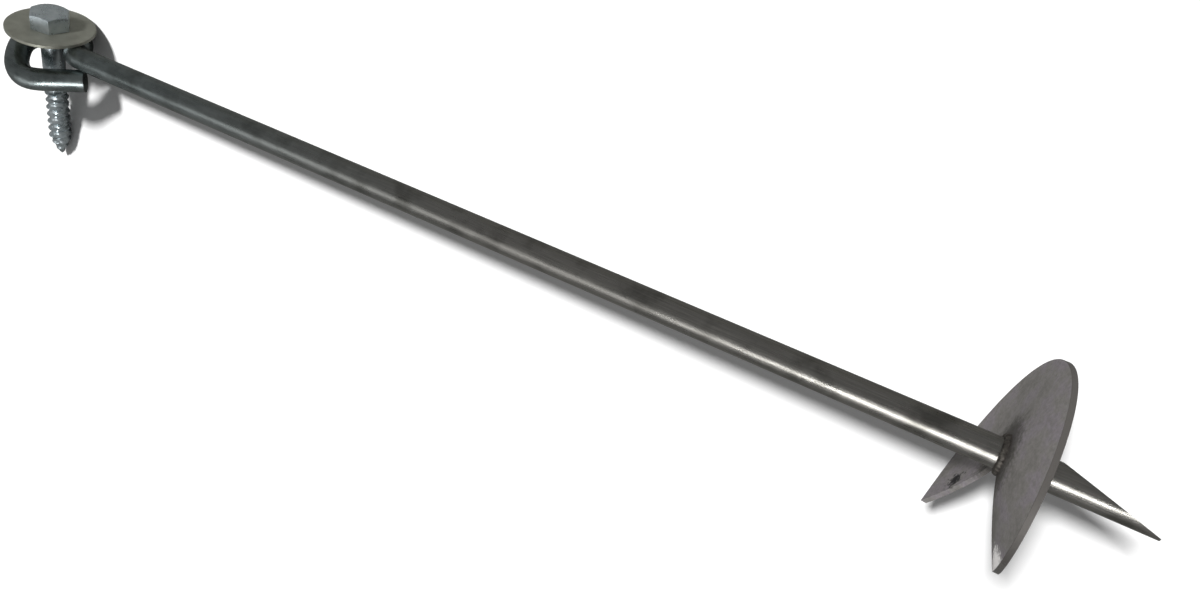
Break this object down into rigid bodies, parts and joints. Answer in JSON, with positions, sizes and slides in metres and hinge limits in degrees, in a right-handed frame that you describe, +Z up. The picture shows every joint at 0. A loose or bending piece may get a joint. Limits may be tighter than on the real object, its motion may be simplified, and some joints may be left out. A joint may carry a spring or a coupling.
{
  "type": "screw earth anchor",
  "caption": "Steel bar anchor with a small helix welded near its sharp end and an eye at the other, which holds a hex lag screw and a washer",
  "frame": {"origin": "middle of the footprint of the lying part, on the ground", "axes": "+Z up from the ground, +X along the bar from the eye to the sharp end, +Y away from the tip of the lag screw"},
  "size_m": [0.4718, 0.0834, 0.063],
  "materials": {
    "bar_steel": "bright drawn bar, lightly oiled",
    "plate_steel": "dull grey pressed sheet",
    "weld_steel": "dark weld bead",
    "washer_zinc": "dull zinc plating",
    "lag_zinc": "zinc plated"
  },
  "bodies": {
    "root": {"anchor_rod": "bar_steel", "helix_plate": "plate_steel", "helix_weld": "weld_steel", "fender_washer": "washer_zinc", "lag_screw": "lag_zinc"}
  },
  "joints": []
}
